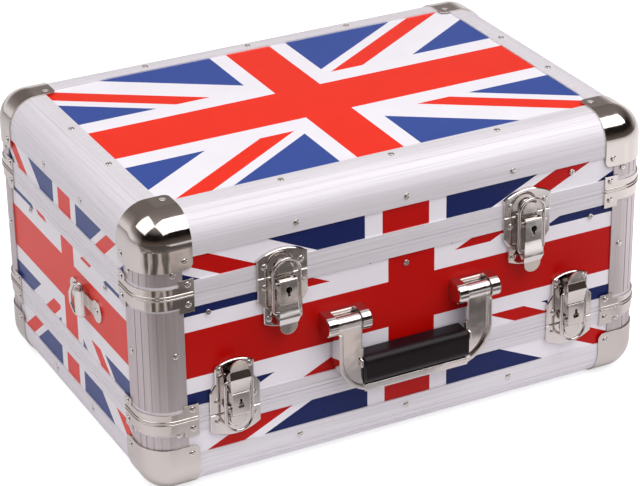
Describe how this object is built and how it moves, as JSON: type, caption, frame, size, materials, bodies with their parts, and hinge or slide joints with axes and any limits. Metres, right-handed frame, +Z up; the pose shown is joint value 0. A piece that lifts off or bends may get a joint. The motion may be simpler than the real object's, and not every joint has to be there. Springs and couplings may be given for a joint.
{
  "type": "flight case",
  "caption": "Flight case in hinged shells with printed panels, aluminium edges, ball corners, drawbolt latches and a carrying handle.",
  "frame": {"origin": "on the floor, in the middle of the footprint of the ball corners' undersides", "axes": "+X along the front to the viewer's right, +Y from the front to the back, +Z up"},
  "size_m": [0.48, 0.3409, 0.2449],
  "materials": {
    "printed_panel": "printed_satin",
    "aluminium_extrusion": "satin",
    "steel_corner": "polished",
    "chromed_steel": "polished",
    "grip_plastic": "satin",
    "foam_lining": "matte"
  },
  "bodies": {
    "base": {"base_floor_panel": "printed_panel", "base_side_panels": "printed_panel", "base_edge_extrusions": "aluminium_extrusion", "base_corner_posts": "aluminium_extrusion", "base_rim": "aluminium_extrusion", "base_ball_corners": "steel_corner", "base_corner_braces": "steel_corner", "base_lining": "foam_lining", "latch_strike_lower_left": "chromed_steel", "latch_strike_lower_right": "chromed_steel", "lower_hinge_leaves_base": "chromed_steel"},
    "middle": {"middle_side_panels": "printed_panel", "middle_corner_posts": "aluminium_extrusion", "middle_lower_rim": "aluminium_extrusion", "middle_upper_rim": "aluminium_extrusion", "middle_lower_braces": "steel_corner", "middle_upper_braces": "steel_corner", "middle_lining": "foam_lining", "latch_plate_upper_left": "chromed_steel", "latch_plate_upper_right": "chromed_steel", "latch_plate_lower_left": "chromed_steel", "latch_plate_lower_right": "chromed_steel", "latch_pins": "chromed_steel", "handle_bracket_left": "chromed_steel", "handle_bracket_right": "chromed_steel", "handle_pins": "chromed_steel", "strap_plate_left": "chromed_steel", "strap_plate_right": "chromed_steel", "lower_hinge_leaves_middle": "chromed_steel", "upper_hinge_leaves_middle": "chromed_steel", "lower_hinge_pins": "chromed_steel", "upper_hinge_pins": "chromed_steel"},
    "lid": {"lid_top_panel": "printed_panel", "lid_side_panels": "printed_panel", "lid_edge_extrusions": "aluminium_extrusion", "lid_corner_posts": "aluminium_extrusion", "lid_rim": "aluminium_extrusion", "lid_ball_corners": "steel_corner", "lid_corner_braces": "steel_corner", "lid_lining": "foam_lining", "latch_strike_upper_left": "chromed_steel", "latch_strike_upper_right": "chromed_steel", "upper_hinge_leaves_lid": "chromed_steel"},
    "handle": {"handle_bail": "chromed_steel", "handle_grip": "grip_plastic"},
    "strap_ring_left": {"strap_ring_left": "chromed_steel"},
    "strap_ring_right": {"strap_ring_right": "chromed_steel"},
    "latch_lever_upper_left": {"latch_lever_upper_left": "chromed_steel"},
    "latch_loop_upper_left": {"latch_loop_upper_left": "chromed_steel"},
    "latch_lever_upper_right": {"latch_lever_upper_right": "chromed_steel"},
    "latch_loop_upper_right": {"latch_loop_upper_right": "chromed_steel"},
    "latch_lever_lower_left": {"latch_lever_lower_left": "chromed_steel"},
    "latch_loop_lower_left": {"latch_loop_lower_left": "chromed_steel"},
    "latch_lever_lower_right": {"latch_lever_lower_right": "chromed_steel"},
    "latch_loop_lower_right": {"latch_loop_lower_right": "chromed_steel"}
  },
  "joints": [
    {"name": "middle_hinge", "type": "hinge", "parent": "base", "child": "middle", "pos_m": [0, 0.1605, 0.0672], "axis": [-1, 0, 0], "range_deg": [0, 95]},
    {"name": "lid_hinge", "type": "hinge", "parent": "middle", "child": "lid", "pos_m": [0, 0.1605, 0.1777], "axis": [-1, 0, 0], "range_deg": [0, 100]},
    {"name": "handle_swing", "type": "hinge", "parent": "middle", "child": "handle", "pos_m": [0, -0.1667, 0.1242], "axis": [-1, 0, 0], "range_deg": [0, 95]},
    {"name": "strap_ring_left_swing", "type": "hinge", "parent": "middle", "child": "strap_ring_left", "pos_m": [-0.2332, -0.0375, 0.128], "axis": [0, 0, 1], "range_deg": [-24, 154]},
    {"name": "strap_ring_right_swing", "type": "hinge", "parent": "middle", "child": "strap_ring_right", "pos_m": [0.2332, -0.0375, 0.128], "axis": [0, 0, -1], "range_deg": [-24, 154]},
    {"name": "latch_lever_upper_left_swing", "type": "hinge", "parent": "middle", "child": "latch_lever_upper_left", "pos_m": [-0.11155, -0.1647, 0.1717], "axis": [-1, 0, 0], "range_deg": [0, 90]},
    {"name": "latch_loop_upper_left_swing", "type": "hinge", "parent": "latch_lever_upper_left", "child": "latch_loop_upper_left", "pos_m": [-0.11155, -0.1656, 0.1477], "axis": [-1, 0, 0], "range_deg": [-90, 0]},
    {"name": "latch_lever_upper_right_swing", "type": "hinge", "parent": "middle", "child": "latch_lever_upper_right", "pos_m": [0.11155, -0.1647, 0.1717], "axis": [-1, 0, 0], "range_deg": [0, 90]},
    {"name": "latch_loop_upper_right_swing", "type": "hinge", "parent": "latch_lever_upper_right", "child": "latch_loop_upper_right", "pos_m": [0.11155, -0.1656, 0.1477], "axis": [-1, 0, 0], "range_deg": [-90, 0]},
    {"name": "latch_lever_lower_left_swing", "type": "hinge", "parent": "middle", "child": "latch_lever_lower_left", "pos_m": [-0.15548, -0.1647, 0.0732], "axis": [1, 0, 0], "range_deg": [0, 90]},
    {"name": "latch_loop_lower_left_swing", "type": "hinge", "parent": "latch_lever_lower_left", "child": "latch_loop_lower_left", "pos_m": [-0.15548, -0.1656, 0.0972], "axis": [1, 0, 0], "range_deg": [-90, 0]},
    {"name": "latch_lever_lower_right_swing", "type": "hinge", "parent": "middle", "child": "latch_lever_lower_right", "pos_m": [0.15548, -0.1647, 0.0732], "axis": [1, 0, 0], "range_deg": [0, 90]},
    {"name": "latch_loop_lower_right_swing", "type": "hinge", "parent": "latch_lever_lower_right", "child": "latch_loop_lower_right", "pos_m": [0.15548, -0.1656, 0.0972], "axis": [1, 0, 0], "range_deg": [-90, 0]}
  ],
  "couplings": [
    {"joint": "latch_loop_upper_left_swing", "follows": "latch_lever_upper_left_swing", "ratio": -1},
    {"joint": "latch_loop_upper_right_swing", "follows": "latch_lever_upper_right_swing", "ratio": -1},
    {"joint": "latch_loop_lower_left_swing", "follows": "latch_lever_lower_left_swing", "ratio": -1},
    {"joint": "latch_loop_lower_right_swing", "follows": "latch_lever_lower_right_swing", "ratio": -1}
  ]
}
